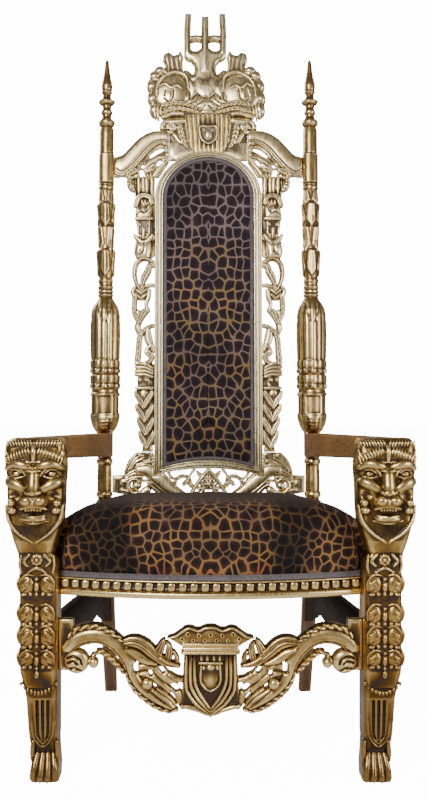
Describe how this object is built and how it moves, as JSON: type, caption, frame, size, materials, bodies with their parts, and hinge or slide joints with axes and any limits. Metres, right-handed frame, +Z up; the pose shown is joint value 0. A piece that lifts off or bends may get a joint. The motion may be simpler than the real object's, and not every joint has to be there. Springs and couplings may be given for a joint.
{
  "type": "throne",
  "caption": "Tall carved and gilded throne with lion-mask legs, turned back posts, a pierced crowned crest and a padded seat and back in leopard print.",
  "frame": {"origin": "on the floor, under the middle of the throne's bounding box", "axes": "+Z up, the throne faces -Y, +X is the right side as seen from in front"},
  "size_m": [0.8662, 0.7104, 1.8458],
  "materials": {
    "gilding": "antique gold leaf over carved wood, satin, rubbed darker in the hollows",
    "brown_gilding": "plain wood under a thin brown-gold wash, satin",
    "leopard_velvet": "short velvet with a leopard print, dark spots and tan outlines",
    "grey_braid": "matt woven gimp braid"
  },
  "bodies": {
    "root": {"front_leg_left": "gilding", "front_leg_right": "gilding", "arm_left": "brown_gilding", "arm_right": "brown_gilding", "back_post_left": "gilding", "back_post_right": "gilding", "top_bracket_left": "gilding", "top_bracket_right": "gilding", "crest": "gilding", "back_frame": "gilding", "openwork_left": "gilding", "openwork_right": "gilding", "lower_back_rail": "gilding", "back_pad": "leopard_velvet", "back_braid": "grey_braid", "seat_rail_front": "gilding", "seat_rail_left": "brown_gilding", "seat_rail_right": "brown_gilding", "seat_rail_back": "brown_gilding", "seat_cushion": "leopard_velvet", "seat_braid": "grey_braid", "front_stretcher": "gilding", "side_stretcher_left": "brown_gilding", "side_stretcher_right": "brown_gilding"}
  },
  "joints": []
}
